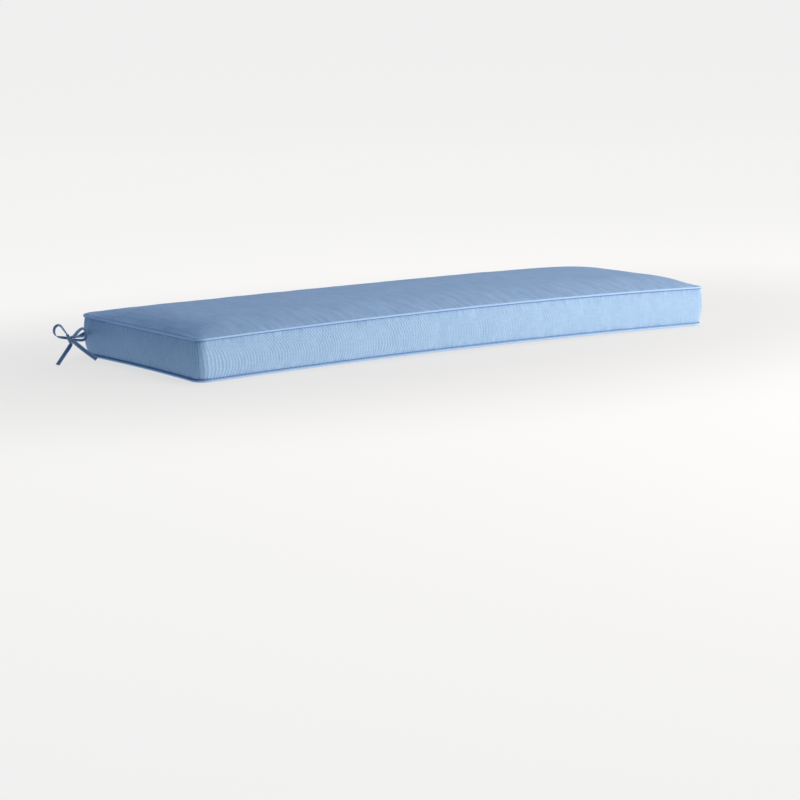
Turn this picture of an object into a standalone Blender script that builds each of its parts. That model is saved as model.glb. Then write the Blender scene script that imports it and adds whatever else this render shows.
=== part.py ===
"""Bench cushion: a boxed seat cushion with self-fabric piping and one pair of ties in a bow.

Metres, +Z up. The origin is under the middle of the cushion, on the surface it rests on.
+X runs along the cushion to its right-hand end, +Y towards its back edge.
The two ties leave the back corner of the left-hand end and are knotted in a bow round an
empty place.
"""
import math

import bmesh
import bpy
import numpy as np
from mathutils import Vector

# Cover, measured on the upper seam
LENGTH = 1.124            # along X
DEPTH = 0.466             # along Y
BOXING = 0.0725           # height of the side strip between the two seams, at the corners
# Corner radii from the front left counter-clockwise; the front corners are pushed out sharper
CORNER_TOP = np.array((0.018, 0.014, 0.024, 0.030))      # on the upper seam
CORNER_BOTTOM = np.array((0.023, 0.024, 0.040, 0.044))   # the lower corners are drawn in further
LOW_ROUND = 4             # the power by which a corner widens from the lower seam up
CORNER_LEAST = 0.004      # no ring inside the seams turns a corner tighter than this
DRAW_LONG = 0.022         # how far the long sides are drawn in between their corners
DRAW_SHORT = 0.006        # the same for the short sides
BULGE = 0.0036            # how far the side strip swells at half its height
ARCH_TOP = 0.0042         # the upper seam rises this much from the corners to the middle
ARCH_BOTTOM = 0.0033      # and the lower seam lifts this much
END_DIP = 0.003           # the upper seam dips this much in the middle of the left end
END_FALL = 0.005          # and it falls this much to the back right corner, a third as much to the front one
CROWN = 0.0165            # rise of the top panel above its seam
CROWN_REACH_ENDS = 0.055  # distance from the end seams over which the top panel rises
CROWN_REACH_SIDES = 0.18  # the same from the long seams
REST_INSET = 0.030        # the underside lies flat from here inwards

# Piping
PIPING_D = 0.005
GAP = 0.0003              # clearance that keeps touching pieces apart
PIPING_LOW = 0.0030       # height of the lower piping's centre at the corners

# Ties: flat straps of the cover's cloth, folded and stitched
TIE_WIDTH = 0.0076
TIE_THICK = 0.0012
TIE_BUNCH = 0.6           # share of its width that a strap keeps where it enters the knot
BUNCH_REACH = 0.014       # and the length over which it narrows
KNOT_AT = (-0.627, 0.1417, 0.0475)   # the knot's place
BOW_AZIMUTH = math.radians(-25.7)    # the bow's long direction, seen from above

# Steps
LONG_STEPS = 25
SHORT_STEPS = 10
CORNER_STEPS = 6
BOXING_STEPS = 8
TIE_STEP = 0.0032

# Light blue woven canvas, as linear red, green and blue
CANVAS = (0.275, 0.445, 0.680)
CANVAS_ROUGHNESS = 0.88


def clear_scene():
    for old in list(bpy.data.objects):
        bpy.data.objects.remove(old, do_unlink=True)


def canvas(name):
    """The cover's cloth, which the piping and the ties are cut from too."""
    material = bpy.data.materials.new(name)
    material.use_nodes = True
    shader = material.node_tree.nodes["Principled BSDF"]
    shader.inputs["Base Color"].default_value = (*CANVAS, 1.0)
    shader.inputs["Roughness"].default_value = CANVAS_ROUGHNESS
    shader.inputs["Metallic"].default_value = 0.0
    material.diffuse_color = (*CANVAS, 1.0)
    return material


def add_object(name, data, material):
    data.materials.append(material)
    piece = bpy.data.objects.new(name, data)
    bpy.context.scene.collection.objects.link(piece)
    return piece


def mesh_from(name, shape, material):
    """One closed mesh from a bmesh, its faces turned outwards."""
    bmesh.ops.recalc_face_normals(shape, faces=shape.faces[:])
    data = bpy.data.meshes.new(name)
    shape.to_mesh(data)
    shape.free()
    piece = add_object(name, data, material)
    data.shade_smooth()
    data.set_sharp_from_angle(angle=math.radians(50))
    return piece


def outline(radii, grow):
    """The cushion seen from above as an (n, 2) array, counter-clockwise from the front left.

    Four sides drawn in by a parabola between their ends, and four round corners. `grow` moves
    the whole outline outwards, and a larger radius draws its corner in.
    """
    half_x, half_y = LENGTH / 2, DEPTH / 2
    radii = np.maximum(radii, CORNER_LEAST - grow)
    along = np.linspace(-1, 1, LONG_STEPS + 1)
    across = np.linspace(-1, 1, SHORT_STEPS + 1)
    turn = np.linspace(0, math.pi / 2, CORNER_STEPS + 1)[1:-1]

    def side(half_long, half_deep, share, draw, start, end):
        """How far along the side and how far out its points are, between its two corners."""
        run = -half_long + start + (2 * half_long - start - end) * (share + 1) / 2
        return run, half_deep + grow - draw * (1 - share ** 2)

    def corner(sign_x, sign_y, start, radius):
        angle = start + turn
        return np.stack([sign_x * (half_x - radius) + (radius + grow) * np.cos(angle),
                         sign_y * (half_y - radius) + (radius + grow) * np.sin(angle)], axis=1)

    front_left, front_right, back_right, back_left = radii
    front_run, front_out = side(half_x, half_y, along, DRAW_LONG, front_left, front_right)
    right_run, right_out = side(half_y, half_x, across, DRAW_SHORT, front_right, back_right)
    back_run, back_out = side(half_x, half_y, along, DRAW_LONG, back_right, back_left)
    left_run, left_out = side(half_y, half_x, across, DRAW_SHORT, back_left, front_left)
    front = np.stack([front_run, -front_out], axis=1)
    right = np.stack([right_out, right_run], axis=1)
    back = np.stack([-back_run, back_out], axis=1)
    left = np.stack([-left_out, -left_run], axis=1)
    return np.concatenate([front, corner(1, -1, -math.pi / 2, front_right),
                           right, corner(1, 1, 0, back_right),
                           back, corner(-1, 1, math.pi / 2, back_left),
                           left, corner(-1, -1, math.pi, front_left)])


def arch(x, rise):
    return rise * (1 - (2 * x / LENGTH) ** 2)


def upper_seam(points):
    """Heights of the upper piping's centre at these places."""
    x, y = points[:, 0], points[:, 1]
    dip = END_DIP * np.clip(-2 * x / LENGTH, 0, 1) ** 8 * (1 - (2 * y / DEPTH) ** 2)
    fall = END_FALL * np.clip(2 * x / LENGTH, 0, 1) ** 5 * (2 + 2 * y / DEPTH) / 3
    return PIPING_LOW + BOXING + arch(x, ARCH_TOP) - dip - fall


def lower_seam(points):
    """Heights of the lower piping's centre at these places."""
    return PIPING_LOW + arch(points[:, 0], ARCH_BOTTOM)


def crown(points):
    """Rise of the top panel: a parabola up from each seam, the two directions multiplied."""
    edge_x = LENGTH / 2 - np.abs(points[:, 0])
    edge_y = DEPTH / 2 - arch(points[:, 0], DRAW_LONG) - np.abs(points[:, 1])
    rise = np.ones(len(points))
    for edge, reach in ((edge_x, CROWN_REACH_ENDS), (edge_y, CROWN_REACH_SIDES)):
        share = np.clip(edge / reach, 0, 1)
        rise = rise * (1 - (1 - share) ** 2)
    return CROWN * rise


def ring(points, heights):
    return np.column_stack([points, np.broadcast_to(heights, len(points))])


def groove_angles(first, last):
    return np.radians(np.linspace(first, last, 5))


def cushion_rings():
    """Rings of the cushion's skin from the resting face up to near the middle of the top."""
    # The groove's corners stand this far out so that its flats still clear the piping
    groove = (PIPING_D / 2 + GAP) / math.cos(math.radians(18))
    rings = []

    # Underside: flat, then up to the lower seam
    rim = outline(CORNER_BOTTOM, groove * math.cos(math.radians(240)))
    rim_height = lower_seam(rim) + groove * math.sin(math.radians(240))
    for share in (0.0, 0.35, 0.65):
        inset = REST_INSET + (groove / 2 - REST_INSET) * share
        rings.append(ring(outline(CORNER_BOTTOM, -inset), rim_height * share ** 2))
    for angle in groove_angles(240, 110):
        points = outline(CORNER_BOTTOM, groove * math.cos(angle))
        rings.append(ring(points, lower_seam(points) + groove * math.sin(angle)))

    # Side strip, swollen, with its lower corners drawn in
    low_rise, high_rise = groove * math.sin(math.radians(110)), groove * math.sin(math.radians(250))
    for share in np.linspace(0, 1, BOXING_STEPS + 1)[1:-1]:
        radii = CORNER_TOP + (CORNER_BOTTOM - CORNER_TOP) * (1 - share) ** LOW_ROUND
        swell = BULGE * math.sin(math.pi * share) ** 0.7
        points = outline(radii, groove * math.cos(math.radians(110)) + swell)
        low = lower_seam(points) + low_rise
        high = upper_seam(points) + high_rise
        rings.append(ring(points, low + (high - low) * share))

    # Upper groove, then the top panel
    for angle in groove_angles(250, 120):
        points = outline(CORNER_TOP, groove * math.cos(angle))
        rings.append(ring(points, upper_seam(points) + groove * math.sin(angle)))
    rim_rise = groove * math.sin(math.radians(120))
    for inset in (0.006, 0.014, 0.025):
        points = outline(CORNER_TOP, -inset)
        rings.append(ring(points, upper_seam(points) + rim_rise + crown(points)))
    for scale in (0.86, 0.70, 0.52, 0.34, 0.16):
        inner = points * scale
        rings.append(ring(inner, upper_seam(inner) + rim_rise + crown(inner)))
    return rings


def build_cushion(material):
    shape = bmesh.new()
    loops = [[shape.verts.new(point) for point in points] for points in cushion_rings()]
    count = len(loops[0])
    for low, high in zip(loops, loops[1:]):
        for i in range(count):
            j = (i + 1) % count
            shape.faces.new((low[i], low[j], high[j], high[i]))
    shape.faces.new(loops[0])
    top = shape.verts.new((0, 0, max(vert.co.z for vert in loops[-1])))
    for i in range(count):
        shape.faces.new((loops[-1][i], loops[-1][(i + 1) % count], top))
    return mesh_from("cushion", shape, material)


def build_piping(name, radii, seam, material):
    """A closed run of piping laid in the seam's groove."""
    points = outline(radii, 0.0)
    curve = bpy.data.curves.new(name, "CURVE")
    curve.dimensions = "3D"
    curve.bevel_depth = PIPING_D / 2
    curve.bevel_resolution = 1
    spline = curve.splines.new("POLY")
    spline.points.add(len(points) - 1)
    for place, point, height in zip(spline.points, points, seam(points)):
        place.co = (point[0], point[1], height, 1)
    spline.use_cyclic_u = True
    return add_object(name, curve, material)


def bow_axes():
    """The bow's own directions: along it, up, and out of its face."""
    along = Vector((math.cos(BOW_AZIMUTH), math.sin(BOW_AZIMUTH), 0))
    up = Vector((0, 0, 1))
    return along, up, along.cross(up)


def from_bow(a, b, c):
    along, up, out = bow_axes()
    return Vector(KNOT_AT) + along * a + up * b + out * c


# Each tie is one strap. Its strap from the cushion, its loop and its tail all enter its own part
# of the knot. Routes are in millimetres from the knot: a along the bow, b up, c out of its face.
# wa, wb, wc is the direction across the strap's width.
# a, b, c, wa, wb, wc
BACK_STRAP = [
    (26.6, -6.0, -88.4, 0, 1, 0),
    (20.0, -5.0, -66.0, 0, 1, 0),
    (12.5, -4.0, -42.0, 0, 1, 0),
    (6.5, -3.2, -24.0, 0, 1, 0),
    (3.0, -3.0, -13.0, 0, 1, 0),
    (1.5, -3.0, -4.0, 0, 1, 0),
]
LEFT_LOOP = [
    (-3.5, 1.6, -2.8, 0, 0, 1),
    (-7.4, 7.5, -1.4, 0, 0, 1),
    (-9.4, 15.4, 0.4, 0, 0, 1),
    (-13.0, 22.4, 1.0, 0, 0, 1),
    (-18.4, 26.2, 1.0, 0.1, 0, 1),
    (-25.4, 22.2, 0.5, 0.4, 0, 0.9),
    (-29.0, 15.2, 0.0, 0.6, 0, 0.8),
    (-27.6, 7.6, 0.0, 0.6, 0, 0.8),
    (-23.0, 2.4, 0.0, 0.3, 0, 0.95),
    (-15.3, -0.4, -0.4, 0, 0, 1),
    (-9.0, -1.6, -1.6, 0, 0, 1),
    (-3.5, -2.0, -2.8, 0, 0, 1),
]
RIGHT_TAIL = [
    (3.2, -5.4, -2.6, 0.63, 0.77, 0),
    (7.2, -8.6, -1.8, 0.63, 0.77, 0),
    (12.9, -12.9, 0.8, 0.63, 0.77, 0),
    (23.5, -21.5, 4.6, 0.63, 0.77, 0),
    (35.9, -31.2, 7.0, 0.63, 0.77, 0),
    (46.5, -39.2, 9.0, 0.63, 0.77, 0),
]
FRONT_STRAP = [
    (30.2, -5.5, -79.6, 0, 1, 0),
    (29.6, -4.5, -60.0, 0, 1, 0),
    (28.8, -3.0, -36.0, 0, 1, 0),
    (27.6, -1.5, -18.0, 0, 1, 0),
    (25.8, -0.5, -8.5, 0, 1, 0),
    (21.5, 0.0, -3.2, 0, 1, 0),
    (16.0, 0.2, -1.6, 0, 1, 0),
    (11.5, 0.4, -0.8, 0, 1, 0),
    (7.8, 0.5, 0.9, 0, 1, 0),
    (3.8, 0.5, 1.9, 0, 1, 0),
]
RIGHT_LOOP = [
    (3.2, 1.8, 2.8, -0.3, 0.5, 0.8),
    (8.4, 5.2, 4.2, -0.5, 0.6, 0.6),
    (15.4, 10.8, 6.0, -0.5, 0.5, 0.7),
    (22.8, 16.2, 6.4, -0.1, 0.25, 0.95),
    (29.0, 15.6, 6.4, 0, 0, 1),
    (33.0, 10.9, 6.2, 0, 0, 1),
    (33.4, 4.2, 6.0, 0, 0, 1),
    (30.4, -2.2, 6.0, 0, 0, 1),
    (24.4, -6.0, 6.0, 0, 0, 1),
    (16.2, -5.4, 5.6, 0, 0, 1),
    (8.6, -3.6, 3.8, 0, 0, 1),
    (3.2, -2.8, 2.8, 0, 0, 1),
]
LEFT_TAIL = [
    (1.4, -8.6, 2.8, 1, 0, 0),
    (1.1, -14.2, 2.8, 1, 0, 0),
    (-2.0, -18.6, 3.3, 0.9, -0.4, 0),
    (-8.6, -27.0, 4.6, 0.82, -0.57, 0),
    (-15.2, -36.4, 7.2, 0.8, -0.5, 0.2),
    (-20.6, -43.2, 11.6, 0.85, -0.3, 0.45),
    (-25.4, -46.3, 17.4, 0.85, 0, 0.55),
    (-30.2, -46.6, 24.4, 0.85, 0, 0.55),
]
# name, lowest and highest corner of its part of the knot, strap, loop, tail
TIES = [
    ("tie_back", (-5.0, -10.0, -5.4), (6.0, 4.0, -0.15), BACK_STRAP, LEFT_LOOP, RIGHT_TAIL),
    ("tie_front", (-4.2, -11.4, 0.15), (5.2, 4.8, 5.4), FRONT_STRAP, RIGHT_LOOP, LEFT_TAIL),
]


def smooth_route(rows):
    """Points and width directions every TIE_STEP along a Catmull-Rom curve through the rows."""
    rows = np.array(rows, dtype=float)
    padded = np.vstack([2 * rows[0] - rows[1], rows, 2 * rows[-1] - rows[-2]])
    dense = []
    for before, start, end, after in zip(padded, padded[1:], padded[2:], padded[3:]):
        share = np.linspace(0, 1, 24, endpoint=False)[:, None]
        dense.append(0.5 * (2 * start + (end - before) * share
                            + (2 * before - 5 * start + 4 * end - after) * share ** 2
                            + (3 * start - before - 3 * end + after) * share ** 3))
    dense = np.vstack(dense + [rows[-1:]])
    walked = np.concatenate([[0], np.cumsum(np.linalg.norm(np.diff(dense[:, :3], axis=0), axis=1))])
    steps = max(4, round(walked[-1] / (TIE_STEP * 1000)))
    even = np.linspace(0, walked[-1], steps + 1)
    return np.column_stack([np.interp(even, walked, dense[:, k]) for k in range(6)])


def add_strap(name, route, bunched, material):
    """A flat strap with a six-sided section; it narrows at the ends that `bunched` names."""
    rows = smooth_route(route)
    places = [from_bow(*(row[:3] / 1000)) for row in rows]
    along, up, out = bow_axes()
    last = len(rows) - 1
    half_thick = TIE_THICK / 2
    shape = bmesh.new()
    loops = []
    for i, row in enumerate(rows):
        ahead = (places[min(i + 1, last)] - places[max(i - 1, 0)]).normalized()
        across = along * row[3] + up * row[4] + out * row[5]
        across = (across - ahead * across.dot(ahead)).normalized()
        face = ahead.cross(across)
        steps_in = min([last] + [i] * ("start" in bunched) + [last - i] * ("end" in bunched))
        spread = min(1, steps_in * TIE_STEP / BUNCH_REACH)
        half_width = TIE_WIDTH / 2 * (TIE_BUNCH + (1 - TIE_BUNCH) * spread)
        flat = half_width - half_thick
        section = ((half_width, 0), (flat, half_thick), (-flat, half_thick),
                   (-half_width, 0), (-flat, -half_thick), (flat, -half_thick))
        loops.append([shape.verts.new(places[i] + across * u + face * v) for u, v in section])
    for low, high in zip(loops, loops[1:]):
        for k in range(6):
            shape.faces.new((low[k], low[(k + 1) % 6], high[(k + 1) % 6], high[k]))
    shape.faces.new(loops[0])
    shape.faces.new(loops[-1])
    return mesh_from(name, shape, material)


def add_knot_part(name, low, high, material):
    """A tie's part of the knot: a block with its corners and edges rounded off."""
    low, high = Vector(low) / 1000, Vector(high) / 1000
    middle, half = (low + high) / 2, (high - low) / 2
    shape = bmesh.new()
    bmesh.ops.create_cube(shape, size=2)
    bmesh.ops.subdivide_edges(shape, edges=shape.edges[:], cuts=3, use_grid_fill=True)
    for vert in shape.verts:
        spread = sum(abs(x) ** 4 for x in vert.co) ** 0.25
        soft = vert.co / spread
        vert.co = from_bow(*(soft[k] * half[k] + middle[k] for k in range(3)))
    return mesh_from(name, shape, material)


def build_tie(name, low, high, strap, loop, tail, material):
    """One tie: its part of the knot joined with its strap, its loop and its tail."""
    tie = add_knot_part(name, low, high, material)
    runs = (("strap", strap, ("end",)), ("loop", loop, ("start", "end")), ("tail", tail, ("start",)))
    for run, route, bunched in runs:
        guide = add_strap(f"{name}_{run}", route, bunched, material)
        guide.hide_render = True
        guide.display_type = "WIRE"
        join = tie.modifiers.new(run, "BOOLEAN")
        join.operation = "UNION"
        join.object = guide


def main():
    clear_scene()
    cover_cloth = canvas("cover_cloth")
    piping_cloth = canvas("piping_cloth")
    tie_cloth = canvas("tie_cloth")
    build_cushion(cover_cloth)
    build_piping("piping_top", CORNER_TOP, upper_seam, piping_cloth)
    build_piping("piping_bottom", CORNER_BOTTOM, lower_seam, piping_cloth)
    for tie in TIES:
        build_tie(*tie, tie_cloth)


main()
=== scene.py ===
"""A bench cushion in light blue canvas: a boxed and filled cover with self-fabric piping round both
of its seams, and two flat ties that leave one back corner and are knotted in a bow.
Metres, +Z up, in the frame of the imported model."""
import math

import bpy
import numpy as np
from mathutils import Matrix


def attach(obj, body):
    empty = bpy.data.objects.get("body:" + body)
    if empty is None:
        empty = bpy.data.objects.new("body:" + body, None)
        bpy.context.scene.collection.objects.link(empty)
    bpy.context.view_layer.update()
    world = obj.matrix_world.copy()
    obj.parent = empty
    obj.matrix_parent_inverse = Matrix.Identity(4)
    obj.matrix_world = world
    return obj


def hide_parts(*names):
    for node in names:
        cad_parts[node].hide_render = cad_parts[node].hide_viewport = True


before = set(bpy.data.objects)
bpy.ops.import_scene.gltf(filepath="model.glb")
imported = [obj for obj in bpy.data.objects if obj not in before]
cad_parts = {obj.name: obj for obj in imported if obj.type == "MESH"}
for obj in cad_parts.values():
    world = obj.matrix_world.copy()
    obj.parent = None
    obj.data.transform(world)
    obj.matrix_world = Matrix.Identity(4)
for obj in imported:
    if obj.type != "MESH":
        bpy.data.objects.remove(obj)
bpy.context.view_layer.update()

scene = bpy.context.scene

# ---- Camera ----------------------------------------------------------------------------------
# A long lens five metres away, in front of the cushion's left half and a little above it: the
# photograph's place and angle, for a frame of 800 x 800.
CAMERA_AT = (-2.72212, -4.25682, 0.71139)
YAW, PITCH, ROLL = (math.radians(angle) for angle in (32.599, 9.324, -1.287))

ahead = np.array((math.sin(YAW) * math.cos(PITCH), math.cos(YAW) * math.cos(PITCH), -math.sin(PITCH)))
level = np.array((math.cos(YAW), -math.sin(YAW), 0.0))
upward = np.cross(level, ahead)
rightward = math.cos(ROLL) * level + math.sin(ROLL) * upward
topward = math.cos(ROLL) * upward - math.sin(ROLL) * level
lens = bpy.data.cameras.new("camera")
lens.lens, lens.sensor_width = 119.435, 36.0
lens.clip_start, lens.clip_end = 0.1, 60.0
camera = bpy.data.objects.new("camera", lens)
camera.matrix_world = (Matrix.Translation(CAMERA_AT)
                       @ Matrix(np.column_stack([rightward, topward, -ahead]).tolist()).to_4x4())
scene.collection.objects.link(camera)
scene.camera = camera

# ---- Ties ------------------------------------------------------------------------------------
# Two flat ties of the cover's canvas, 7.6 mm wide: a strip folded in on itself and stitched along
# both edges. They are caught in the seam at the back left corner, and are knotted in a bow round
# an empty place. Each runs in one piece: strap, knot, loop, knot, tail with a free end cut square.
TIE_WIDTH = 0.0076
TIE_THICK = 0.0012
TIE_STEP = 0.0014
KNOT_AT = np.array((-0.627, 0.1417, 0.0475))
BOW_AZIMUTH = math.radians(-25.7)
bow_along = np.array((math.cos(BOW_AZIMUTH), math.sin(BOW_AZIMUTH), 0.0))
bow_up = np.array((0.0, 0.0, 1.0))
bow_axes = np.stack([bow_along, bow_up, np.cross(bow_along, bow_up)])

# Each row: millimetres from the knot along the bow, up, and out of its face; the direction across
# the strap's width; the share of its width that it keeps where the knot crumples it
BACK_TIE = np.array([
    # The strap, from the corner seam
    (26.6, -6.0, -88.4, 0, 1, 0, 1), (20.0, -5.0, -66.0, 0.5, 0.85, 0, 1),
    (12.5, -3.6, -42.0, 0.9, 0.4, 0.2, 1), (7.6, -1.8, -24.0, 0.95, 0.3, 0.2, 1),
    (5.6, -0.8, -13.0, 0.8, 0.5, 0.2, 0.9), (4.2, -0.6, -5.0, 0.3, 0.9, 0.3, 0.7),
    # Through the knot
    (1.6, -1.0, -0.6, 0, 0.8, 0.6, 0.5), (-1.2, 1.4, -1.2, 0, 0.5, 0.9, 0.5),
    # The left loop, up and back
    (-3.8, 5.3, -2.0, -0.1, 0, 1, 0.66), (-6.6, 9.8, -1.0, -0.2, -0.1, 1, 0.85),
    (-10.0, 15.0, 0.2, -0.28, -0.16, 0.95, 1), (-14.3, 21.4, 1.0, -0.2, -0.3, 0.93, 1),
    (-18.4, 24.0, 1.2, 0, -0.4, 0.92, 1), (-23.0, 22.7, 1.0, 0.33, -0.4, 0.86, 1),
    (-26.7, 18.2, 0.8, 0.52, -0.25, 0.82, 1), (-27.6, 11.6, 0.6, 0.55, 0, 0.83, 1),
    (-25.4, 5.6, 0.4, 0.22, 0.2, 0.95, 1), (-20.2, 2.2, 0.2, 0, -0.25, 0.96, 1),
    (-12.5, 0.6, -0.2, 0, -0.5, 0.86, 1), (-8.0, -0.2, -0.6, 0, -0.6, 0.8, 0.85),
    # Through the knot again
    (-4.0, -1.4, -0.4, 0, -0.6, 0.8, 0.6), (0.0, -2.4, 1.8, -0.2, -0.8, 0.6, 0.5),
    (3.6, -4.0, 3.4, 0.5, 0.85, 0, 0.66),
    # The right tail
    (7.8, -7.4, 3.6, 0.63, 0.77, 0, 0.9), (12.9, -12.2, 3.0, 0.63, 0.77, 0, 1),
    (23.5, -21.5, 4.6, 0.63, 0.77, 0, 1), (35.9, -31.4, 7.0, 0.61, 0.79, 0, 1),
    (48.0, -40.6, 9.0, 0.61, 0.79, 0, 1)])
FRONT_TIE = np.array([
    # The strap, from the corner seam
    (30.2, -5.5, -79.6, 0, 1, 0, 1), (29.6, -4.5, -60.0, 0.5, 0.85, 0, 1),
    (28.8, -3.0, -36.0, 0.85, 0.5, 0, 1), (27.6, -1.5, -18.0, 0.95, 0.3, 0, 1),
    (25.8, -0.5, -8.5, 0.8, 0.3, 0.5, 1), (21.5, 0.0, -3.2, 0.4, 0.3, 0.85, 1),
    (16.0, 0.2, -1.6, 0.1, 0.3, 0.95, 1), (11.5, 0.4, -0.8, 0, 0.45, 0.9, 0.95),
    (7.8, 0.5, 0.2, 0, 0.8, 0.6, 0.8),
    # Once round the other tie: the knot's front is this turn
    (3.8, 0.6, 0.4, 0, 1, 0, 0.55), (0.4, 0.8, -0.8, 0.4, 0.9, 0, 0.42),
    (-1.8, 1.6, -3.4, 1, 0.2, 0, 0.5), (-3.2, 4.0, -3.2, 1, 0, 0, 0.62),
    (-3.6, 5.6, -0.2, 1, 0.1, 0, 0.7), (-3.1, 4.4, 3.4, 0.93, 0.36, 0, 0.76),
    (-1.7, 0.2, 5.5, 0.92, 0.38, 0, 0.8), (0.2, -5.0, 5.7, 0.92, 0.38, 0, 0.8),
    (1.6, -8.6, 4.4, 0.93, 0.34, 0, 0.74), (2.3, -10.4, 1.2, 1, 0.1, 0, 0.66),
    (2.4, -9.4, -2.6, 1, 0, 0, 0.6), (1.8, -5.8, -3.6, 1, 0, 0, 0.5),
    (1.4, -1.6, -2.0, 1, 0.4, 0.2, 0.42), (2.0, 0.6, 0.8, 0.2, 0.8, 0.6, 0.45),
    # The right loop, up and back
    (4.6, 1.6, 3.0, -0.3, 0.7, 0.6, 0.6), (8.8, 3.6, 5.0, -0.6, 0.66, 0.5, 0.9),
    (14.9, 10.6, 6.6, -0.65, 0.5, 0.57, 1), (21.1, 15.9, 7.2, -0.4, 0.6, 0.68, 1),
    (26.3, 16.7, 7.4, 0.2, 0.66, 0.72, 1), (30.4, 12.8, 7.4, 0.55, 0.4, 0.73, 1),
    (31.6, 5.2, 7.2, 0.62, 0, 0.78, 1), (29.6, -1.4, 7.0, 0.5, -0.36, 0.78, 1),
    (23.9, -4.4, 6.8, 0.1, -0.5, 0.86, 1), (16.2, -4.4, 6.0, 0, -0.45, 0.89, 1),
    (8.6, -3.4, 3.4, 0, -0.3, 0.95, 0.85),
    # Through the knot
    (4.2, -2.8, 1.8, 0, 0.3, 1, 0.6), (0.8, -3.4, 0.4, 0, 1, 0.4, 0.42),
    (-0.8, -5.4, -1.8, 0.5, 0.8, 0, 0.5), (0.8, -8.6, -3.8, 0.9, 0.2, 0, 0.62),
    (2.2, -12.0, -3.4, 0.85, -0.5, 0.2, 0.85),
    # The left tail, leaning out to the resting surface
    (-1.2, -17.5, 1.6, 0.76, -0.5, 0.4, 1), (-7.9, -25.6, 10.6, 0.72, -0.46, 0.5, 1),
    (-16.0, -35.4, 22.2, 0.7, -0.42, 0.57, 1), (-23.6, -44.6, 32.6, 0.7, -0.42, 0.57, 1)])


def smooth_route(rows, step):
    """Rows every `step` along a curve through the given rows. Between two rows it is the cubic
    whose slope at each of them is half the way from the row before to the row after."""
    before = np.vstack([2 * rows[:1] - rows[1:2], rows[:-2]])[:, None]
    start, end = rows[:-1][:, None], rows[1:][:, None]
    after = np.vstack([rows[2:], 2 * rows[-1:] - rows[-2:-1]])[:, None]
    share = np.linspace(0, 1, 24, endpoint=False)[None, :, None]
    dense = 0.5 * (2 * start + (end - before) * share
                   + (2 * before - 5 * start + 4 * end - after) * share ** 2
                   + (3 * start - before - 3 * end + after) * share ** 3)
    dense = np.vstack([dense.reshape(-1, rows.shape[1]), rows[-1:]])
    walked = np.concatenate([[0], np.cumsum(np.linalg.norm(np.diff(dense[:, :3], axis=0), axis=1))])
    even = np.linspace(0, walked[-1], round(walked[-1] / step) + 1)
    return np.column_stack([np.interp(even, walked, column) for column in dense.T]), even


def unit(vectors):
    """The same directions with a length of 1."""
    return vectors / np.linalg.norm(vectors, axis=-1, keepdims=True)


# From an edge of a folded strip to near its middle, as shares of half its width and half its
# thickness: a round fold at the edge, and a dent at 0.72 where the row of stitches pulls it in
EDGE_WIDE = np.array((1.0, 0.985, 0.94, 0.86, 0.79, 0.72, 0.65, 0.45, 0.15))
EDGE_THICK = np.array((0.0, 0.60, 0.92, 1.0, 0.93, 0.70, 0.92, 0.98, 0.95))


def linear(colour):
    """A hex sRGB colour as linear red, green, blue and alpha."""
    value = np.array([int(colour[k:k + 2], 16) for k in (1, 3, 5)]) / 255
    return (*np.where(value <= 0.04045, value / 12.92, ((value + 0.055) / 1.055) ** 2.4).tolist(), 1.0)


def put(tree, kind, sockets, output=0, **settings):
    """Adds a node with its settings and gives one of its outputs. Each socket named is linked to
    another node's output or set to a value."""
    made = tree.nodes.new("ShaderNode" + kind)
    for option, value in settings.items():
        setattr(made, option, value)
    for socket, source in sockets.items():
        if isinstance(source, bpy.types.NodeSocket):
            tree.links.new(source, made.inputs[socket])
        else:
            made.inputs[socket].default_value = source
    return made.outputs[output]


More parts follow.
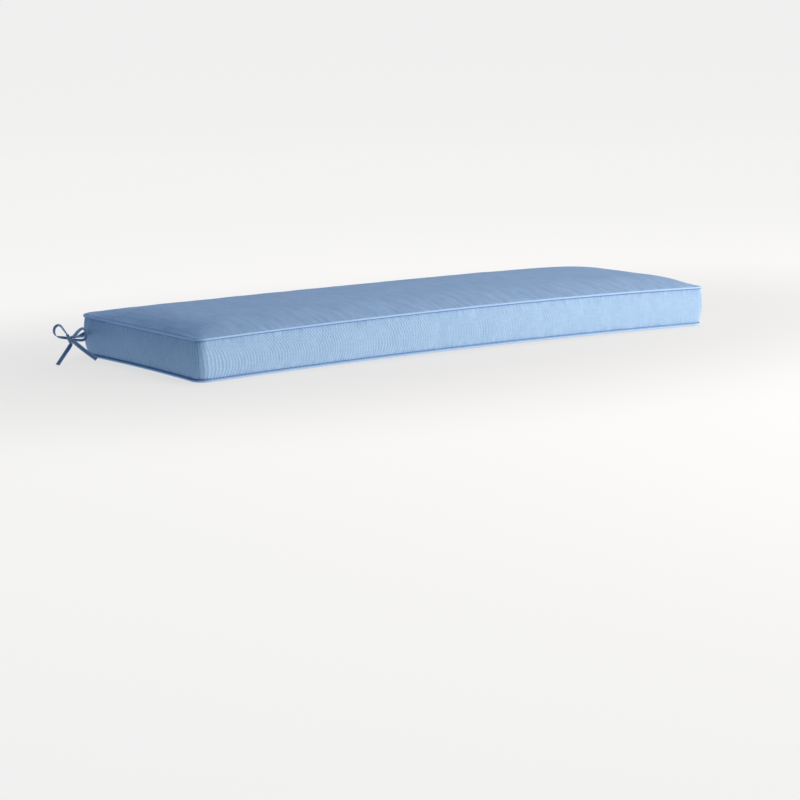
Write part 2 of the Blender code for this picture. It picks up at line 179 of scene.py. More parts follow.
def woven_canvas(name, light, dark, deep, turned=0.0, ribs=0.0, puckers=0.0):
    """Piece-dyed cotton canvas, plain weave. The eye gets a matt, slightly mottled blue with fine
    threads, uneven from thread to thread, painted shade as darker lines along each fold, and a pale
    bloom of loose fibre at grazing angles. The weave follows the UV map in metres, turned by
    `turned` where the cloth is cut on the bias. `deep` is the colour of the painted shade in the
    fold lines, `ribs` how strongly groups of threads show, and `puckers` how deep the seams gather
    it, in the bump and as painted light and shade in the colour."""
    material = bpy.data.materials.new(name)
    material.use_nodes = True
    tree = material.node_tree
    shader = tree.nodes["Principled BSDF"]
    shader.inputs["Roughness"].default_value = 0.86
    shader.inputs["IOR"].default_value = 1.47          # cotton fibre
    shader.inputs["Specular IOR Level"].default_value = 0.15
    shader.inputs["Sheen Weight"].default_value = 0.02
    shader.inputs["Sheen Roughness"].default_value = 0.5
    shader.inputs["Sheen Tint"].default_value = linear("#DCE8F6")
    cloth = put(tree, "UVMap", {}, uv_map="cloth")
    cut = put(tree, "Mapping", {"Vector": cloth, "Rotation": (0, 0, turned)})
    across = put(tree, "SeparateXYZ", {0: cut}, "X")
    # Threads of 0.55 mm lie 0.9 mm apart in the real canvas. They are drawn 1.3 mm apart, because
    # a pixel of the main view is about 2 mm
    per_thread = math.pi / 0.0013
    threads = put(tree, "VectorMath", {0: cut, 1: (per_thread, per_thread, 0)}, operation="MULTIPLY")
    threads = put(tree, "VectorMath", {0: threads}, operation="SINE")
    weave = put(tree, "Math", {0: put(tree, "SeparateXYZ", {0: threads}, "X"),
                               1: put(tree, "SeparateXYZ", {0: threads}, "Y")}, operation="MULTIPLY")
    # Slubs: each thread is a little thicker or paler over a centimetre or two of its length
    warp = put(tree, "Mapping", {"Vector": cut, "Scale": (420, 50, 1)})
    weft = put(tree, "Mapping", {"Vector": cut, "Scale": (50, 420, 1)})
    slubs = put(tree, "Math", {0: put(tree, "TexNoise", {"Vector": warp, "Scale": 1.0}),
                               1: put(tree, "TexNoise", {"Vector": weft, "Scale": 1.0})}, operation="ADD")
    # On the side strip heavier groups of warp threads stand 5.6 mm apart and wander a little. A
    # fainter set, 4.4 mm apart, crosses them further from the front left corner, where the strip
    # was pulled askew
    strip = put(tree, "Attribute", {}, "Fac", attribute_name="side")
    wander = put(tree, "TexNoise", {"Vector": cut, "Scale": 18.0})
    group = put(tree, "Math", {0: across, 1: 2 * math.pi / 0.0056,
                               2: put(tree, "Math", {0: wander, 1: 11.0}, operation="MULTIPLY")},
                operation="MULTIPLY_ADD")
    askew = put(tree, "Mapping", {"Vector": cut, "Rotation": (0, 0, math.radians(38))})
    askew = put(tree, "SeparateXYZ", {0: askew}, "X")
    crossing = put(tree, "Math", {0: askew, 1: 2 * math.pi / 0.0044,
                                  2: put(tree, "Math", {0: wander, 1: 14.0}, operation="MULTIPLY")},
                   operation="MULTIPLY_ADD")
    askew_here = put(tree, "MapRange", {0: across, "From Min": 0.04, "From Max": 0.25, "To Max": 0.55})
    crossing = put(tree, "Math", {0: put(tree, "Math", {0: crossing}, operation="SINE"), 1: askew_here},
                   operation="MULTIPLY")
    rib = put(tree, "Math", {0: put(tree, "Math", {0: group}, operation="SINE"), 1: crossing}, operation="ADD")
    uneven = put(tree, "Mapping", {"Vector": cut, "Scale": (1, 2, 1)})
    uneven = put(tree, "TexNoise", {"Vector": uneven, "Scale": 11.0})
    uneven = put(tree, "MapRange",
                 {0: uneven, "From Min": 0.35, "From Max": 0.62, "To Min": 0.3, "To Max": 1.1})
    rib = put(tree, "Math", {0: rib, 1: uneven}, operation="MULTIPLY")
    rib = put(tree, "Math", {0: rib, 1: strip}, operation="MULTIPLY")
    # On the panels the threads run a little askew, most of all beside the seams: faint bands 10 mm apart
    near = put(tree, "Attribute", {}, "Fac", attribute_name="near_seam")
    panel = put(tree, "Attribute", {}, "Fac", attribute_name="panel")
    bands = put(tree, "Mapping", {"Vector": cut, "Rotation": (0, 0, math.radians(-17)), "Scale": (110, 14, 1)})
    bands = put(tree, "TexNoise", {"Vector": bands, "Scale": 1.0, "Detail": 1.0})
    bands = put(tree, "Math", {0: bands, 1: 0.5}, operation="SUBTRACT")
    shown = put(tree, "Math", {0: near, 1: 0.2}, operation="POWER")
    shown = put(tree, "Math", {0: shown, 1: 0.50, 2: 0.50}, operation="MULTIPLY_ADD")
    bands = put(tree, "Math", {0: bands, 1: shown}, operation="MULTIPLY")
    bands = put(tree, "Math", {0: bands, 1: panel}, operation="MULTIPLY")
    # Dye and handling: soft patches, a hand wide down to a few millimetres
    patches = put(tree, "TexNoise", {"Vector": cut, "Scale": 9.0, "Detail": 5.0, "Roughness": 0.7})
    # Gathers beside the seams: 5 mm apart along them, and a few centimetres long
    gathers = put(tree, "Mapping", {"Vector": put(tree, "TexCoord", {}, "Object"), "Scale": (190, 190, 34)})
    gathers = put(tree, "TexNoise", {"Vector": gathers, "Scale": 1.0, "Roughness": 0.5})
    gathers = put(tree, "Math", {0: gathers, 1: 0.5}, operation="SUBTRACT")
    gathers = put(tree, "Math", {0: gathers, 1: near}, operation="MULTIPLY")
    # The shade from dark to light is the sum of all these, about a middle of 0.5. The slubs' two
    # noises add up to 1 on average and the patches to 0.5, so that much of them is taken off
    shade = put(tree, "Math", {0: rib, 1: ribs, 2: 0.5 - 0.45 - 0.18}, operation="MULTIPLY_ADD")
    # The gathers' share of the shade is painted light and shade of their little creases; they are also in the
    # bump below
    for pattern, weight in ((slubs, 0.45), (patches, 0.36), (weave, 0.06), (gathers, puckers * 0.16)):
        shade = put(tree, "Math", {0: pattern, 1: weight, 2: shade}, operation="MULTIPLY_ADD")
    shade = put(tree, "Math", {0: shade, 1: bands}, operation="ADD", use_clamp=True)
    colour = put(tree, "Mix", {0: shade, 6: linear(dark), 7: linear(light)}, 2, data_type="RGBA")
    # Painted shade: the colour is mixed towards `deep` in the fold beside a seam, on the piping's half in that
    # fold, and along the middle and stitch lines of a tie
    painted_fold_shade = put(tree, "Attribute", {}, "Fac", attribute_name="painted_fold_shade")
    colour = put(tree, "Mix", {0: painted_fold_shade, 6: colour, 7: linear(deep)}, 2, data_type="RGBA")
    tree.links.new(colour, shader.inputs["Base Color"])
    relief = put(tree, "Math", {0: slubs, 1: 0.5, 2: weave}, operation="MULTIPLY_ADD")
    relief = put(tree, "Math", {0: relief, 1: rib}, operation="ADD")
    relief = put(tree, "Math", {0: gathers, 1: puckers, 2: relief}, operation="MULTIPLY_ADD")
    bump = put(tree, "Bump", {"Strength": 0.4, "Distance": 0.0003, "Height": relief})
    tree.links.new(bump, shader.inputs["Normal"])
    return material


def add_piece(name, points, faces, corner_uv, material):
    """A mesh object from arrays of points and faces, with a UV place in metres for each face corner."""
    mesh = bpy.data.meshes.new(name)
    mesh.from_pydata(points.tolist(), [], faces)
    mesh.uv_layers.new(name="cloth").data.foreach_set("uv", corner_uv.astype(np.float32).ravel())
    mesh.materials.append(material)
    mesh.shade_smooth()
    mesh.validate()
    piece = bpy.data.objects.new(name, mesh)
    scene.collection.objects.link(piece)
    return piece


def keep_values(mesh, kind, values):
    """Stores one number for each point, for the material."""
    mesh.attributes.new(kind, "FLOAT", "POINT").data.foreach_set("value", values.astype(np.float32))


def skin_of_rings(rings, around, along, closed):
    """Faces and UVs over rings of points: four-sided faces join each ring to the next, and the
    last to the first where closed; otherwise a flat face ends it. around and along are the UV
    distances of the corners, one more than the points."""
    count, size = rings.shape[:2]
    index = np.arange(count * size).reshape(count, size)
    low, high = (index, np.roll(index, -1, axis=0)) if closed else (index[:-1], index[1:])
    faces = np.stack([low, np.roll(low, -1, axis=1), np.roll(high, -1, axis=1), high], axis=-1)
    faces = faces.reshape(-1, 4).tolist()
    u, v = np.broadcast_arrays(around[None, :], along[:, None])
    grid = np.stack([u, v], axis=-1)
    uv = np.stack([grid[:-1, :-1], grid[:-1, 1:], grid[1:, 1:], grid[1:, :-1]], axis=2).reshape(-1, 2)
    if not closed:
        faces += [index[0][::-1].tolist(), index[-1].tolist()]
        uv = np.vstack([uv, grid[0, :-1][::-1], grid[-1, :-1]])
    return faces, uv


# The ties are the cover's canvas, given darker than on the cover: painted shade. Their third colour is painted
# shade in their fold and stitch lines
tie_cloth_painted_shade = woven_canvas("tie_canvas_painted_shade", "#94B3D6", "#6A8CB4", "#24426C")


def tie(name, node, rows):
    """A folded strip laid along its route: the section is carried along, with its width across
    the route in the direction that the rows give and its thickness square to both."""
    route, walked = smooth_route(rows, TIE_STEP * 1000)
    places = KNOT_AT + route[:, :3] @ bow_axes / 1000
    ahead = unit(np.gradient(places, axis=0))
    across = route[:, 3:6] @ bow_axes
    across = unit(across - ahead * (across * ahead).sum(axis=1, keepdims=True))
    face = np.cross(ahead, across)
    kept = route[:, 6]
    half_width = TIE_WIDTH / 2 * kept
    half_thick = TIE_THICK / 2 * (1 + 0.9 * (1 - kept))       # a crumpled strip is thicker
    # Round the section: one face from edge to edge, then the other face back
    wide = np.concatenate([EDGE_WIDE, -EDGE_WIDE[:0:-1], -EDGE_WIDE, EDGE_WIDE[:0:-1]])
    thick = np.concatenate([EDGE_THICK, EDGE_THICK[:0:-1], -EDGE_THICK, -EDGE_THICK[:0:-1]])
    rings = (places[:, None] + across[:, None] * (half_width[:, None] * wide)[..., None]
             + face[:, None] * (half_thick[:, None] * thick)[..., None])
    around = np.concatenate([wide * TIE_WIDTH / 2, [TIE_WIDTH / 2]])
    faces, uv = skin_of_rings(rings, around, walked / 1000, False)
    piece = add_piece(name, rings.reshape(-1, 3), faces, uv, tie_cloth_painted_shade)
    # Painted shade: a darker line along the middle, where the two folded halves meet, and one beside
    # each edge, where the stitches draw it in
    painted_folds = np.interp(np.abs(wide), (0.15, 0.45, 0.65, 0.72, 0.79), (0.60, 0.12, 0.05, 0.30, 0.0))
    keep_values(piece.data, "painted_fold_shade", np.tile(painted_folds, len(rings)))
    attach(piece, "root")
    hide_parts(node)


tie("back_tie", "tie_back", BACK_TIE)
tie("front_tie", "tie_front", FRONT_TIE)

# ---- Cover -----------------------------------------------------------------------------------
# The cover: a top and a bottom panel of canvas and a side strip sewn between them, filled until
# the top crowns and the side swells. The long sides draw in between the corners.
LENGTH = 1.124            # along X, on the upper seam
DEPTH = 0.466             # along Y
BOXING = 0.0725           # height of the side strip between the two seams, at the corners
# Corner radii from the front left counter-clockwise; the front corners are pushed out sharper
CORNER_TOP = np.array((0.018, 0.014, 0.024, 0.030))
CORNER_BOTTOM = np.array((0.023, 0.024, 0.040, 0.044))
LOW_ROUND = 4             # the power by which a corner widens from the lower seam up
DRAW_LONG = 0.022         # how far the long sides are drawn in between their corners
DRAW_SHORT = 0.006        # the same for the short sides
BULGE = 0.0036            # how far the side strip swells at half its height, before it is filled
ARCH_TOP = 0.0042         # the upper seam rises this much from the corners to the middle
ARCH_BOTTOM = 0.0033      # and the lower seam lifts this much
END_DIP = 0.003           # the upper seam dips this much in the middle of the left end
END_FALL = 0.005          # and it falls this much to the back right corner, a third as much to the front one
CROWN = 0.0165            # rise of the top panel above its seam
SEWN_CROWN = 0.82         # the share of it that is there before the filling lifts the panel
# Distances from each seam over which the top panel rises
CROWN_REACH_LEFT, CROWN_REACH_RIGHT = 0.090, 0.045
CROWN_REACH_FRONT, CROWN_REACH_BACK = 0.095, 0.18
RIM_INSET = 0.0015        # the underside leaves its seam here
REST_INSET = 0.030        # and lies flat from here inwards
PIPING_D = 0.005
PIPING_LOW = 0.0030       # height of the lower piping's centre at the corners
GAP = 0.0003              # clearance between the piping and its groove
# Degrees round a piping's centre from straight out: the lower groove runs from the underside to the
# side strip, and the upper one from the side strip to the top panel
LOWER_GROOVE, UPPER_GROOVE = (240, 110), (250, 120)
CUTS_LONG, CUTS_DEEP = 140, 58
FILLING_STEPS = 20


def crowded(cuts, length):
    """Shares from 0 to 1 of a side, three times as close at its ends as at its middle: the inverse
    of the running sum of 1 + 2.1 (exp(-s / 40 mm) + exp(-(length - s) / 40 mm))."""
    along = np.linspace(0, length, 2001)
    density = 1 + 2.1 * (np.exp(-along / 0.04) + np.exp(-(length - along) / 0.04))
    reached = np.concatenate([[0], np.cumsum(density[1:] + density[:-1])])
    return np.interp(np.linspace(0, reached[-1], cuts + 1), reached, along / length)


def side_line(half_long, half_deep, draw, start, end, grow, shares):
    """One side seen from above, from the middle of one round corner to the middle of the next: an
    eighth of a turn of the start radius, a line drawn in by a parabola, and an eighth of a turn of
    the end radius. Gives how far along and how far out each point is."""
    first, last = start - half_long, half_long - end
    run = first - start * math.pi / 4 + shares * (last - first + (start + end) * math.pi / 4)
    flat_run = np.clip(run, first, last)
    radius = np.where(run < 0, start, end)
    angle = (run - flat_run) / radius
    middle = (2 * flat_run - first - last) / (last - first)
    along = flat_run + (radius + grow) * np.sin(angle)
    out = half_deep + grow - draw * (1 - middle ** 2) - (radius + grow) * (1 - np.cos(angle))
    return along, out


def outline(radii, grow, long_shares, deep_shares):
    """The cushion seen from above, counter-clockwise from the middle of the front left corner."""
    front_left, front_right, back_right, back_left = radii
    long_side = LENGTH / 2, DEPTH / 2, DRAW_LONG
    short_side = DEPTH / 2, LENGTH / 2, DRAW_SHORT
    front, front_out = side_line(*long_side, front_left, front_right, grow, long_shares[:-1])
    right, right_out = side_line(*short_side, front_right, back_right, grow, deep_shares[:-1])
    back, back_out = side_line(*long_side, back_right, back_left, grow, long_shares[:-1])
    left, left_out = side_line(*short_side, back_left, front_left, grow, deep_shares[:-1])
    return np.concatenate([np.column_stack(pair) for pair in (
        (front, -front_out), (right_out, right), (-back, back_out), (-left_out, -left))])


def arch(x, rise):
    """A parabola along the cushion, from 0 at its ends to the rise in its middle."""
    return rise * (1 - (2 * x / LENGTH) ** 2)


def upper_seam(x, y):
    """Height of the upper piping's centre: it arches up to the middle, dips along the left end, and
    falls towards the back right corner."""
    dip = END_DIP * np.clip(-2 * x / LENGTH, 0, 1) ** 8 * (1 - (2 * y / DEPTH) ** 2)
    fall = END_FALL * np.clip(2 * x / LENGTH, 0, 1) ** 5 * (2 + 2 * y / DEPTH) / 3
    return PIPING_LOW + BOXING + arch(x, ARCH_TOP) - dip - fall


def lower_seam(x, y):
    """Height of the lower piping's centre: it lifts a little towards the middle."""
    return PIPING_LOW + arch(x, ARCH_BOTTOM) + 0 * y


def crown(x, y):
    """Rise of the top panel: a parabola up from each seam, the two directions multiplied."""
    reach = np.where(x < 0, CROWN_REACH_LEFT, CROWN_REACH_RIGHT)
    edge_x = np.clip((LENGTH / 2 - np.abs(x)) / reach, 0, 1)
    reach_y = np.where(y < 0, CROWN_REACH_FRONT, CROWN_REACH_BACK)
    edge_y = np.clip((DEPTH / 2 - arch(x, DRAW_LONG) - np.abs(y)) / reach_y, 0, 1)
    return CROWN * (1 - (1 - edge_x) ** 2) * (1 - (1 - edge_y) ** 2)


def edge_distance(x, y, radii):
    """How far in from the cushion's edge a place is, seen from above: the nearer side's distance,
    and round a corner the radius less the distance from the corner's centre."""
    in_x = LENGTH / 2 - DRAW_SHORT * (1 - (2 * y / DEPTH) ** 2) - np.abs(x)
    in_y = DEPTH / 2 - arch(x, DRAW_LONG) - np.abs(y)
    radius = np.where(x < 0, np.where(y < 0, radii[0], radii[3]), np.where(y < 0, radii[1], radii[2]))
    to_centre = np.hypot(radius - np.minimum(in_x, radius), radius - np.minimum(in_y, radius))
    round_in = radius - to_centre
    return np.where((in_x < radius) & (in_y < radius), round_in, np.minimum(in_x, in_y))


long_shares, deep_shares = crowded(CUTS_LONG, LENGTH), crowded(CUTS_DEEP, DEPTH)
around_count = 2 * (CUTS_LONG + CUTS_DEEP)
# The groove's corners stand a little further out than the gap, so that its flats clear the piping too
groove = (PIPING_D / 2 + GAP) / math.cos(math.radians(9))


def panel_inside(border):
    """A grid of places filled in from a border: each pair of facing sides is blended across, the
    two blends are added, and the blend of the four corners is taken off."""
    front, right = border[:CUTS_LONG + 1], border[CUTS_LONG:CUTS_LONG + CUTS_DEEP + 1]
    back = border[CUTS_LONG + CUTS_DEEP:2 * CUTS_LONG + CUTS_DEEP + 1][::-1]
    left = np.vstack([border[2 * CUTS_LONG + CUTS_DEEP:], border[:1]])[::-1]
    u, v = long_shares[None, :, None], deep_shares[:, None, None]
    sides = (1 - v) * front[None] + v * back[None] + (1 - u) * left[:, None] + u * right[:, None]
    corners = (1 - v) * ((1 - u) * front[0] + u * front[-1]) + v * ((1 - u) * back[0] + u * back[-1])
    return sides - corners


def groove_place(degrees):
    """How far out and how far up the groove is from its piping's centre: on a circle about it."""
    return groove * math.cos(math.radians(degrees)), groove * math.sin(math.radians(degrees))


def groove_rows(radii, seam, first, last):
    """Rings of the groove that holds a piping, from the first angle to the last."""
    rings = []
    for out, up in map(groove_place, np.linspace(first, last, 6)):
        plan = outline(radii, out, long_shares, deep_shares)
        rings.append(np.column_stack([plan, seam(*plan.T) + up]))
    return rings


lower_rows = groove_rows(CORNER_BOTTOM, lower_seam, *LOWER_GROOVE)
upper_rows = groove_rows(CORNER_TOP, upper_seam, *UPPER_GROOVE)
# Between the grooves the side strip swells by BULGE sin(pi share)^0.7, with its rings closer
# together beside the seams
strip_out, strip_low = groove_place(LOWER_GROOVE[1])
strip_high = groove_place(UPPER_GROOVE[0])[1]
side_rows = []
for share in (1 - np.cos(np.linspace(0, math.pi, 12)[1:-1])) / 2:
    radii = CORNER_TOP + (CORNER_BOTTOM - CORNER_TOP) * (1 - share) ** LOW_ROUND
    plan = outline(radii, strip_out + BULGE * math.sin(math.pi * share) ** 0.7, long_shares, deep_shares)
    low, high = lower_seam(*plan.T) + strip_low, upper_seam(*plan.T) + strip_high
    side_rows.append(np.column_stack([plan, low + (high - low) * share]))
rows = np.stack(lower_rows + side_rows + upper_rows)

# The underside falls by a parabola from its seam to the flat that it rests on
bottom = panel_inside(rows[0][:, :2])
bottom_x, bottom_y = bottom[..., 0], bottom[..., 1]
inward = (edge_distance(bottom_x, bottom_y, CORNER_BOTTOM) - RIM_INSET) / (REST_INSET - RIM_INSET)
rim = lower_seam(bottom_x, bottom_y) + groove_place(LOWER_GROOVE[0])[1]
bottom = np.dstack([bottom, rim * np.clip(1 - inward, 0, 1) ** 2])
top = panel_inside(rows[-1][:, :2])
top_x, top_y = top[..., 0], top[..., 1]
rim = upper_seam(top_x, top_y) + groove_place(UPPER_GROOVE[1])[1]
top = np.dstack([top, rim + SEWN_CROWN * crown(top_x, top_y)])

# Points run from the underside, ring by ring up the side, to the top panel. part_of is 0 on the
# underside, 3 on the top panel, and between them rises from ring to ring
grid_size = (CUTS_LONG + 1) * (CUTS_DEEP + 1)
grid = np.arange(grid_size).reshape(CUTS_DEEP + 1, CUTS_LONG + 1)
border = np.concatenate([grid[0, :-1], grid[:-1, -1], grid[-1, :0:-1], grid[:0:-1, 0]])
between = (len(rows) - 2) * around_count
strip = np.vstack([border, grid_size + np.arange(between).reshape(-1, around_count),
                   grid_size + between + border])
points = np.vstack([bottom.reshape(-1, 3), rows[1:-1].reshape(-1, 3), top.reshape(-1, 3)])
points[border] = rows[0]
points[grid_size + between + border] = rows[-1]
part_of = np.concatenate([np.zeros(grid_size), np.repeat(np.linspace(0, 3, len(rows))[1:-1], around_count),
                          np.full(grid_size, 3.0)])
# The simulation holds all but the side strip and the inside of the top panel
sewn = np.ones(len(points), bool)
first_side, last_side = len(lower_rows) - 1, len(rows) - len(upper_rows)
sewn[strip[first_side + 1:last_side].ravel()] = False
sewn[grid_size + between + grid[1:-1, 1:-1].ravel()] = False


def quads(index):
    """Four-sided faces over a grid of point numbers."""
    return np.stack([index[:-1, :-1], index[:-1, 1:], index[1:, 1:], index[1:, :-1]], axis=-1).reshape(-1, 4)


def corner_places(u, v):
    """UV places of the corners of a grid's faces."""
    place = np.dstack([u, v])
    return np.stack([place[:-1, :-1], place[:-1, 1:], place[1:, 1:], place[1:, :-1]], axis=2).reshape(-1, 2)


strip_closed = np.hstack([strip, strip[:, :1]])
ring_at = points[strip_closed]
run = np.concatenate([[0], np.cumsum(np.linalg.norm(np.diff(ring_at[len(rows) // 2], axis=0), axis=1))])
rises = np.linalg.norm(np.diff(ring_at, axis=0), axis=2)
climb = np.vstack([np.zeros(around_count + 1), np.cumsum(rises, axis=0)])
# The seams drag the side strip's threads: they bow by 5 to 27 mm, and lie furthest forward below
# the middle. The threads stand further apart by the front left corner, where the strip is stretched
# by 30 mm
up_strip = np.clip((climb - climb[first_side]) / (climb[last_side] - climb[first_side]), 0, 1)
bow_from = 0.35 - 0.08 * np.cos(2 * math.pi * run / run[-1])
bow = np.interp(run, (0, 0.035, 0.08, 0.15, 0.32, 0.7, 1.1, run[-1] - 0.55, run[-1] - 0.40, run[-1]),
                (0.005, 0.016, 0.027, 0.0265, 0.019, 0.015, 0.012, 0.012, 0.005, 0.005))
bow = bow * np.where(up_strip < bow_from, 1.9, 1.0)
bowed = run - 0.03 * (1 - np.exp(-run / 0.08)) + bow * ((up_strip - bow_from) / (1 - bow_from)) ** 2
faces = np.vstack([quads(grid)[:, ::-1], quads(strip_closed), quads(grid + grid_size + between)])
# On the UV map the side strip lies 1 m up, and the two panels 3 and 5 m along
bottom_uv = corner_places(bottom_x + 3, bottom_y).reshape(-1, 4, 2)[:, ::-1].reshape(-1, 2)
side_uv = corner_places(bowed, climb + 1)
top_uv = corner_places(top_x + 5, top_y)
# The cover's third colour, a deep saturated blue, is painted shade in the seam lines
cover_cloth = woven_canvas("cover_canvas", "#A5C5E8", "#7A99BF", "#2F63B2", ribs=0.32, puckers=7.0)
cover = add_piece("cover", points, faces.tolist(), np.vstack([bottom_uv, side_uv, top_uv]), cover_cloth)
from_seam = np.minimum(climb - climb[first_side], climb[last_side] - climb)[1:-1, :-1]
from_seam = np.concatenate([edge_distance(bottom_x, bottom_y, CORNER_BOTTOM).ravel(), from_seam.ravel(),
                            edge_distance(top_x, top_y, CORNER_TOP).ravel()])
from_seam = np.maximum(from_seam, 0)
near_seam = np.exp(-from_seam / 0.010)
# Painted shade in the fold beside a seam: a darker line 1.3 mm wide, fainter beside the upper piping
painted_fold_shade = np.exp(-(from_seam / 0.0013) ** 2) * np.where(part_of > 1.5, 0.20, 0.30)
for kind, values in (("part_of", part_of), ("near_seam", near_seam), ("painted_fold_shade", painted_fold_shade)):
    keep_values(cover.data, kind, values)


def coordinates(mesh):
    """Where a mesh's points are, a row for each."""
    found = np.empty(len(mesh.vertices) * 3, np.float32)
    mesh.vertices.foreach_get("co", found)
    return found.reshape(-1, 3).astype(float)


def filled(piece, held, pressure, cap):
    """The filling swells the cover: the cloth is stepped under pressure with its seams held, and
    each point is then moved the same way, by cap tanh(far / cap) instead of by far."""
    group = piece.vertex_groups.new(name="seams")
    group.add(np.flatnonzero(held).tolist(), 1.0, "REPLACE")
    swelling = piece.modifiers.new("filling", "CLOTH")
    cloth = swelling.settings
    cloth.quality, cloth.mass = 6, 0.25
    cloth.tension_stiffness = cloth.compression_stiffness = 18
    cloth.shear_stiffness, cloth.bending_stiffness = 8, 0.8
    cloth.vertex_group_mass = "seams"
    cloth.use_pressure, cloth.uniform_pressure_force = True, pressure
    cloth.shrink_min = -0.002
    cloth.effector_weights.gravity = 0
    swelling.collision_settings.use_collision = False
    scene.frame_start, scene.frame_end = 1, FILLING_STEPS
    start = coordinates(piece.data)
    for moment in range(1, FILLING_STEPS + 1):
        scene.frame_set(moment)
    moved = coordinates(piece.evaluated_get(bpy.context.evaluated_depsgraph_get()).data)
    piece.modifiers.remove(swelling)
    piece.vertex_groups.clear()
    scene.frame_set(1)
    shift = moved - start
    far = np.linalg.norm(shift, axis=1, keepdims=True)
    shift = shift * cap * np.tanh(far / cap) / np.maximum(far, 1e-9)
    piece.data.vertices.foreach_set("co", (start + shift).astype(np.float32).ravel())


filled(cover, sewn, 4.0, 0.003)

smooth = cover.modifiers.new("smooth", "SUBSURF")
smooth.levels = smooth.render_levels = 1
fine = bpy.data.meshes.new_from_object(cover.evaluated_get(bpy.context.evaluated_depsgraph_get()))
cover.modifiers.clear()
cover.data = fine
fine.name = "cover"


def point_values(mesh, kind):
    """A number that is stored for each point."""
    found = np.empty(len(mesh.vertices), np.float32)
    mesh.attributes[kind].data.foreach_get("value", found)
    return found.astype(float)


def pull_creases(along, inward, count, span, lean, depth, seed):
    """Shallow creases that the crown pulls into a panel from one seam. Each is a line that leaves
    the seam and leans, hollow at its middle with a low ridge on both sides:
    depth (1 - 2 q^2) exp(-q^2), with q the distance from the line over its width. It fades towards
    its far end."""
    chance = np.random.default_rng(seed)
    start = (np.arange(count) + chance.uniform(-0.35, 0.35, count)) / (count - 1)
    start = start * (span[1] - span[0]) + span[0]
    reach = chance.uniform(0.06, 0.17, count)
    width = chance.uniform(0.007, 0.012, count)
    deep = depth * chance.uniform(0.35, 1.0, count)
    tilt = lean + chance.uniform(-0.12, 0.12, count)
    off = (along[:, None] - start - tilt * inward[:, None]) / width
    fading = np.clip(1 - inward[:, None] / reach, 0, 1) ** 1.5 * (1 - np.exp(-inward[:, None] / 0.008))
    return -(deep * fading * (1 - 2 * off ** 2) * np.exp(-off ** 2)).sum(axis=1)


def soft_waves(x, y, count, shortest, longest, seed):
    """Uneven filling: plane waves of many directions and lengths, added up and evened out."""
    chance = np.random.default_rng(seed)
    length = chance.uniform(shortest, longest, count)
    heading, phase = chance.uniform(0, math.pi, count), chance.uniform(0, 2 * math.pi, count)
    turns = (x[:, None] * np.cos(heading) + y[:, None] * np.sin(heading)) / length
    return np.sin(2 * math.pi * turns + phase).sum(axis=1) / math.sqrt(count)


at = coordinates(fine)
level_of, near = point_values(fine, "part_of"), point_values(fine, "near_seam")
on_top, on_side = level_of > 2.99, (level_of > 0.55) & (level_of < 2.45)
normals = np.empty(len(fine.vertices) * 3, np.float32)
fine.vertex_normals.foreach_get("vector", normals)
normals = normals.reshape(-1, 3).astype(float)
x, y = at[:, 0], at[:, 1]
edge_y = DEPTH / 2 - arch(x, DRAW_LONG)
# From the front, back, left and right seams, about 0.2 mm deep. Those from the front lean the most
creased = (pull_creases(x, y + edge_y, 27, (-0.50, 0.50), 0.32, 0.00022, 3)
           + pull_creases(x, edge_y - y, 20, (-0.50, 0.50), -0.10, 0.00020, 5)
           + pull_creases(y, x + LENGTH / 2, 8, (-0.19, 0.19), 0.15, 0.00020, 7)
           + pull_creases(y, LENGTH / 2 - x, 8, (-0.19, 0.19), -0.15, 0.00020, 11))
waves_on_top = 0.00025 * soft_waves(x, y, 14, 0.06, 0.19, 13)
waves_on_side = 0.00020 * soft_waves(x, y, 12, 0.035, 0.12, 17)
lifted = (creased + waves_on_top) * on_top + waves_on_side * on_side
at += normals * (lifted * (1 - near ** 0.7))[:, None]
fine.vertices.foreach_set("co", at.astype(np.float32).ravel())
# The side strip's ribs show less and less towards the right end, and hardly at all on its last 20 cm
ribbed = np.clip(0.55 - 0.45 * x / (LENGTH / 2), 0, 0.85) * np.clip((0.36 - x) / 0.18, 0.06, 1)
keep_values(fine, "side", on_side * ribbed)
keep_values(fine, "panel", (level_of < 0.01) | on_top)
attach(cover, "root")
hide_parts("cushion")

# ---- Piping ----------------------------------------------------------------------------------
# Round cotton cord 5 mm thick, wrapped in a bias-cut strip of the same canvas and sewn into both
# seams, so that it stands half out of them all the way round.
# The piping is the cover's canvas, given lighter than on the cover: a painted highlight along the welts. Its
# third colour is painted shade on its half in the seam's fold
piping_cloth_painted_light = woven_canvas("piping_canvas_painted_light", "#AFCDEB", "#92B2D7", "#2F63B2", math.radians(45))


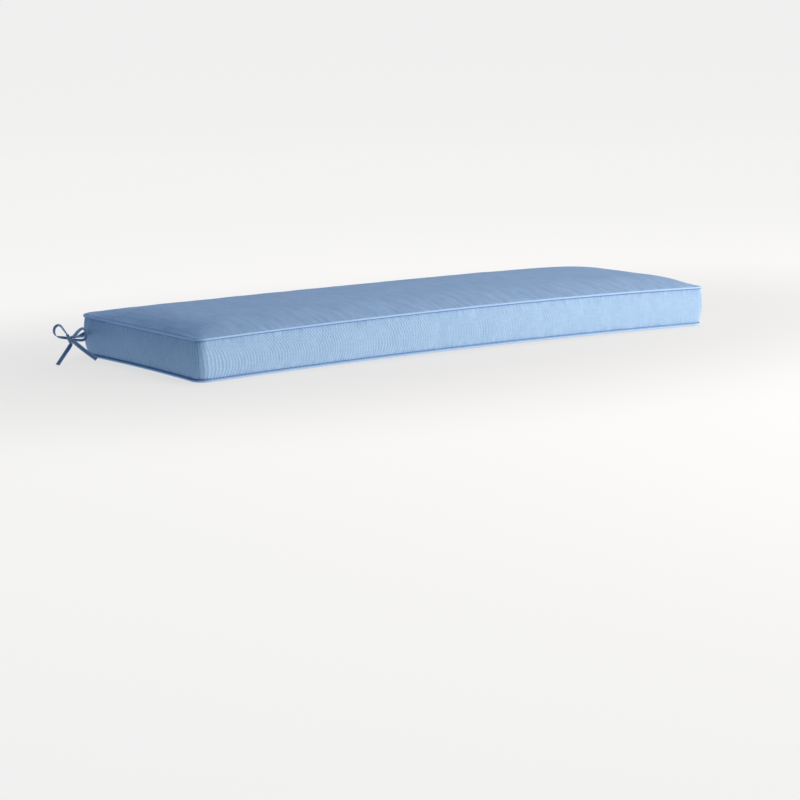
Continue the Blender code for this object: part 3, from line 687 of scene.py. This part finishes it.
def piping(name, node, radii, seam, strip_side, depth):
    """A ring of circles carried along the seam's line, each square to it: out from the cushion
    and up. The cord's twist shows as a faint swelling every 7 mm. The side strip is above the
    piping where strip_side is 1, and below it where it is -1."""
    plan = outline(radii, 0.0, crowded(2 * CUTS_LONG, LENGTH), crowded(2 * CUTS_DEEP, DEPTH))
    centre = np.column_stack([plan, seam(*plan.T)])
    ahead = unit(np.roll(centre, -1, axis=0) - np.roll(centre, 1, axis=0))
    out = unit(np.cross(ahead, (0.0, 0.0, 1.0)))
    up = np.cross(out, ahead)
    steps = np.linalg.norm(np.roll(centre, -1, axis=0) - centre, axis=1)
    walked = np.concatenate([[0], np.cumsum(steps)])
    turn = np.linspace(0, 2 * math.pi, 17)[:-1]
    twists = round(walked[-1] / 0.007)
    swell = 1 + 0.012 * np.sin(2 * math.pi * twists * walked[:-1, None] / walked[-1] + 2 * turn)
    rings = centre[:, None] + PIPING_D / 2 * swell[..., None] * (
        out[:, None] * np.cos(turn)[None, :, None] + up[:, None] * np.sin(turn)[None, :, None])
    around = np.linspace(0, math.pi * PIPING_D, 17)
    faces, uv = skin_of_rings(rings[:, ::-1], around, walked, True)
    piece = add_piece(name, rings[:, ::-1].reshape(-1, 3), faces, uv, piping_cloth_painted_light)
    # Painted shade on the half towards the side strip, which lies in the fold of the seam
    painted_folds = depth * np.clip((strip_side * np.sin(turn[::-1]) - 0.05) / 0.3, 0, 1)
    keep_values(piece.data, "painted_fold_shade", np.tile(painted_folds, len(rings)))
    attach(piece, "root")
    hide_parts(node)


piping("upper_piping", "piping_top", CORNER_TOP, upper_seam, -1, 0.65)
piping("lower_piping", "piping_bottom", CORNER_BOTTOM, lower_seam, 1, 0.4)

# ---- Studio ----------------------------------------------------------------------------------
# A pale paper sweep that curves up behind, a large soft light low to the right of the camera, a
# weaker one overhead, and an even blue sky.
SWEEP_FRONT, SWEEP_BACK, SWEEP_CURVE, SWEEP_HIGH, SWEEP_WIDE = -5.5, 5.0, 3.0, 9.0, 20.0
# Half the length and depth of the oval round the cushion inside which the paper glows less, as a painted soft
# shadow
PAINTED_SHADOW_LONG, PAINTED_SHADOW_DEEP = 0.75, 0.45
arc = np.linspace(0, math.pi / 2, 25)
flat = np.column_stack([np.linspace(SWEEP_FRONT, SWEEP_BACK, 12), np.zeros(12)])
curve = np.column_stack([SWEEP_BACK + SWEEP_CURVE * np.sin(arc), SWEEP_CURVE * (1 - np.cos(arc))])
profile = np.vstack([flat, curve[1:], (SWEEP_BACK + SWEEP_CURVE, SWEEP_HIGH)])
forward = np.array((math.sin(YAW), math.cos(YAW), 0.0))
# Half a millimetre below the surface that the cushion rests on
sweep_at = forward * profile[:, :1] + np.column_stack([np.zeros((len(profile), 2)), profile[:, 1] - 0.0005])
sweep_points = np.stack([sweep_at - level * SWEEP_WIDE / 2, sweep_at + level * SWEEP_WIDE / 2], axis=1)
sweep_faces = quads(np.arange(sweep_points.shape[0] * 2).reshape(-1, 2))
paper = bpy.data.materials.new("pale_paper")
paper.use_nodes = True
matt = paper.node_tree.nodes["Principled BSDF"]
matt.inputs["Base Color"].default_value = linear("#787878")
matt.inputs["Roughness"].default_value = 0.95
matt.inputs["Specular IOR Level"].default_value = 0.1
# The paper glows as well, as if lit from behind on a light table, so that it stays even and near white.
# Under and close round the cushion it glows less: a painted soft shadow of the cushion
matt.inputs["Emission Color"].default_value = (1.0, 0.985, 0.965, 1.0)
place = put(paper.node_tree, "TexCoord", {}, "Object")
about = put(paper.node_tree, "Mapping", {"Vector": place, "Scale": (1 / PAINTED_SHADOW_LONG, 1 / PAINTED_SHADOW_DEEP, 1)})
away = put(paper.node_tree, "VectorMath", {0: about}, "Value", operation="LENGTH")
# Painted soft shadow: the emission rises from low near the cushion to full further out
glow_with_painted_shadow = put(paper.node_tree, "MapRange",
           {0: away, "From Min": 0.7, "From Max": 2.4, "To Min": 0.665, "To Max": 0.812},
           interpolation_type="SMOOTHSTEP")
paper.node_tree.links.new(glow_with_painted_shadow, matt.inputs["Emission Strength"])
grain = put(paper.node_tree, "TexNoise", {"Vector": place, "Scale": 60.0, "Detail": 3.0})
fibre = put(paper.node_tree, "Bump", {"Strength": 0.05, "Distance": 0.0005, "Height": grain})
paper.node_tree.links.new(fibre, matt.inputs["Normal"])
unprinted = np.zeros((len(sweep_faces) * 4, 2))
sweep = add_piece("sweep", sweep_points.reshape(-1, 3), sweep_faces.tolist(), unprinted, paper)


def soft_light(name, toward, away, wide, high, power, colour):
    """A rectangular light that faces the cushion's middle from a direction and distance."""
    lamp = bpy.data.lights.new(name, "AREA")
    lamp.shape, lamp.size, lamp.size_y = "RECTANGLE", wide, high
    lamp.energy, lamp.color = power, colour
    back = unit(np.array(toward))
    beside = unit(np.cross((0.0, 0.0, 1.0), back))
    turned = Matrix(np.column_stack([beside, np.cross(back, beside), back]).tolist()).to_4x4()
    middle = np.array((0.0, 0.0, 0.05))
    fixture = bpy.data.objects.new(name, lamp)
    fixture.matrix_world = Matrix.Translation((middle + back * away).tolist()) @ turned
    scene.collection.objects.link(fixture)


soft_light("key", (0.56, -0.80, 0.19), 3.0, 2.0, 1.1, 93, (1.15, 1.0, 0.82))
soft_light("overhead", (0.18, 0.10, 1.0), 3.0, 2.6, 1.6, 31, (1.12, 1.0, 0.97))
sky = bpy.data.worlds.new("sky")
sky.use_nodes = True
sky.node_tree.nodes["Background"].inputs["Color"].default_value = (0.34, 0.88, 1.5, 1.0)
sky.node_tree.nodes["Background"].inputs["Strength"].default_value = 0.16
scene.world = sky
scene.view_settings.view_transform = "Standard"
